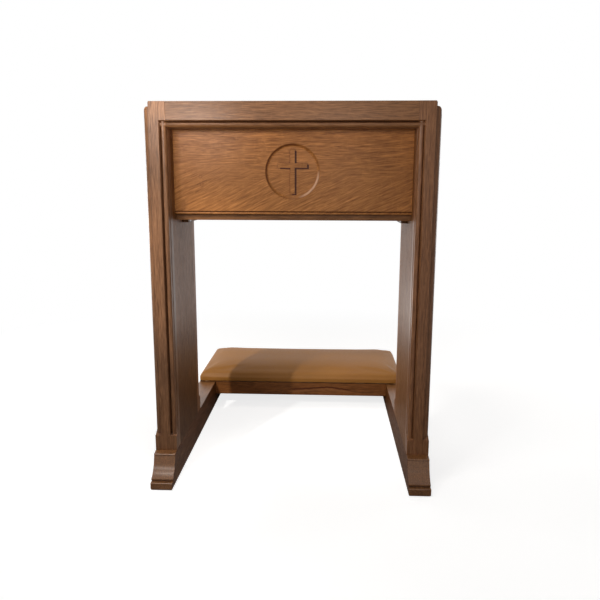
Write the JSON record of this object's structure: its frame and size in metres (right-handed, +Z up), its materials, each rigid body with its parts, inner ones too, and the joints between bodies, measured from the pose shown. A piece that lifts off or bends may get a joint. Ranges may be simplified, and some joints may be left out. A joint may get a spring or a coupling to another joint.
{
  "type": "prie-dieu",
  "caption": "Oak prayer desk for one kneeling person: sloping book rest over an open book shelf, moulded ends on long runners, carved front panel, padded kneeler.",
  "frame": {"origin": "on the floor, under the middle of the whole outline", "axes": "+Z up; +X to the right of someone facing the carved front panel; +Y from the carved panel towards the padded kneeler"},
  "size_m": [0.61, 0.832, 0.826],
  "materials": {
    "oak_post": "stained oak, upright open grain, satin lacquer",
    "oak_rail": "stained oak, level grain, satin lacquer",
    "oak_carved": "golden stained oak with a sweeping figure, satin lacquer",
    "oak_side": "stained oak, upright grain, satin lacquer",
    "oak_shelf": "stained oak, level grain, satin lacquer",
    "oak_runner": "stained oak, grain along its length, satin lacquer",
    "vinyl": "caramel vinyl with a fine grain and a low sheen",
    "foam": "cut upholstery foam",
    "black_cloth": "thin black under-cloth",
    "plywood": "bare birch plywood",
    "beech": "bare beech",
    "screw_steel": "zinc-plated"
  },
  "bodies": {
    "root": {"left_runner": "oak_runner", "right_runner": "oak_runner", "left_front_post": "oak_post", "right_front_post": "oak_post", "left_rear_stile": "oak_post", "right_rear_stile": "oak_post", "left_end_rail": "oak_post", "right_end_rail": "oak_post", "left_side_panel": "oak_side", "right_side_panel": "oak_side", "front_rail": "oak_rail", "carved_panel": "oak_carved", "book_shelf": "oak_shelf", "left_shelf_bearer": "oak_side", "right_shelf_bearer": "oak_side", "book_rest": "oak_shelf", "book_ledge": "oak_rail", "left_rest_bearer": "oak_side", "right_rest_bearer": "oak_side", "kneeler_front_rail": "oak_runner", "kneeler_rear_rail": "oak_runner", "kneeler_board": "plywood", "kneeler_foam": "foam", "kneeler_cover": "vinyl", "kneeler_under_cloth": "black_cloth", "front_rail_dowels": "beech", "end_rail_dowels": "beech", "glue_blocks": "beech", "bearer_screws": "screw_steel", "kneeler_screws": "screw_steel"}
  },
  "joints": []
}
